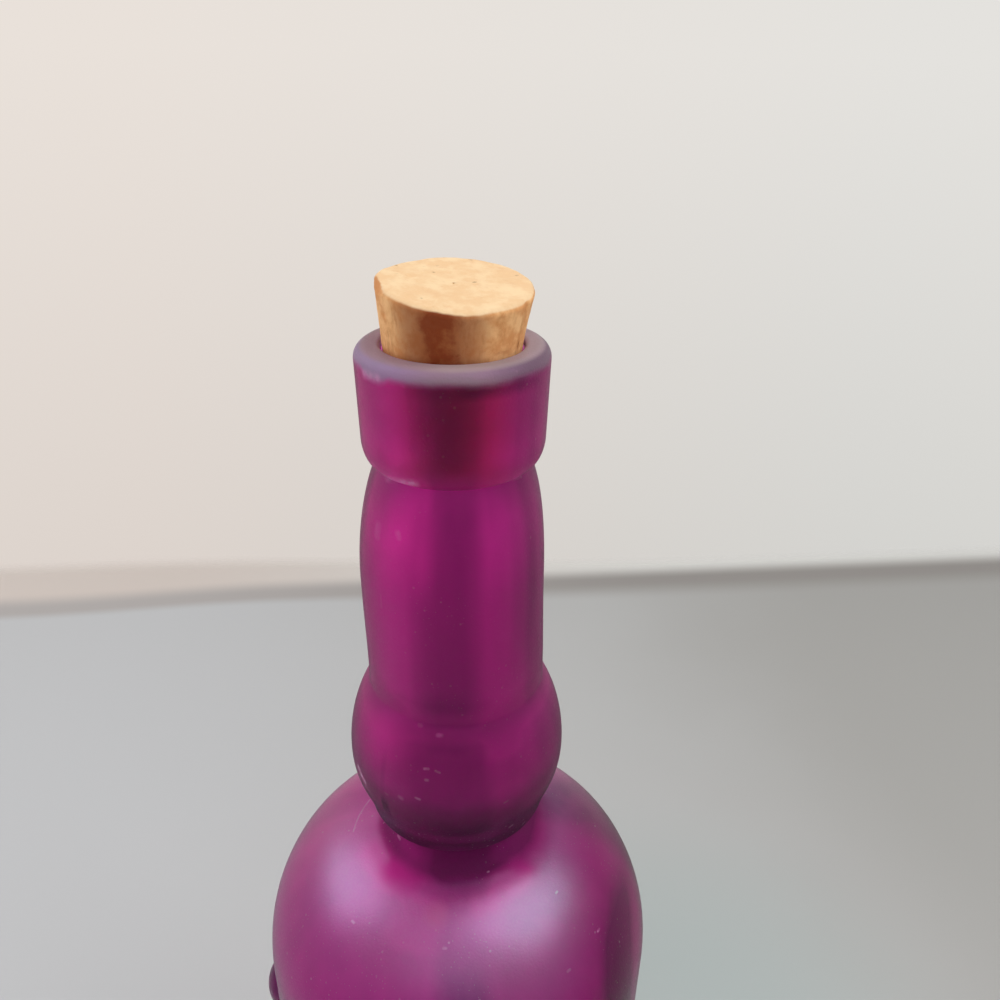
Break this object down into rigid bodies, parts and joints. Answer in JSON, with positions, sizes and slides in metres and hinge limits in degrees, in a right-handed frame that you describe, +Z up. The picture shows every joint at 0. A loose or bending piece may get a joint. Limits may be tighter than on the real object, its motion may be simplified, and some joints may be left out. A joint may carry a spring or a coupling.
{
  "type": "decanter",
  "caption": "Tall moulded satin-glass decanter with a domed cylinder body, waisted ball knop, swelling neck and collar, closed by a tapered natural cork that pulls out.",
  "frame": {"origin": "middle of the ring that the bottle stands on, on the table's surface", "axes": "+Z up along the bottle's turned axis, towards the mouth; -Y towards the side that the picture was taken from; +X to the right in it"},
  "size_m": [0.086, 0.083, 0.3572],
  "materials": {
    "glass": "satin-etched translucent glass, stained magenta purple on the outside, with a greyish worn lip",
    "cork": "natural cork, matt, pitted and darker on its sides"
  },
  "bodies": {
    "bottle": {"glass_bottle": "glass"},
    "stopper": {"cork_stopper": "cork"}
  },
  "joints": [
    {"name": "cork_pull", "type": "slide", "parent": "bottle", "child": "stopper", "axis": [0, 0, 1], "range_m": [0, 0.04]}
  ]
}
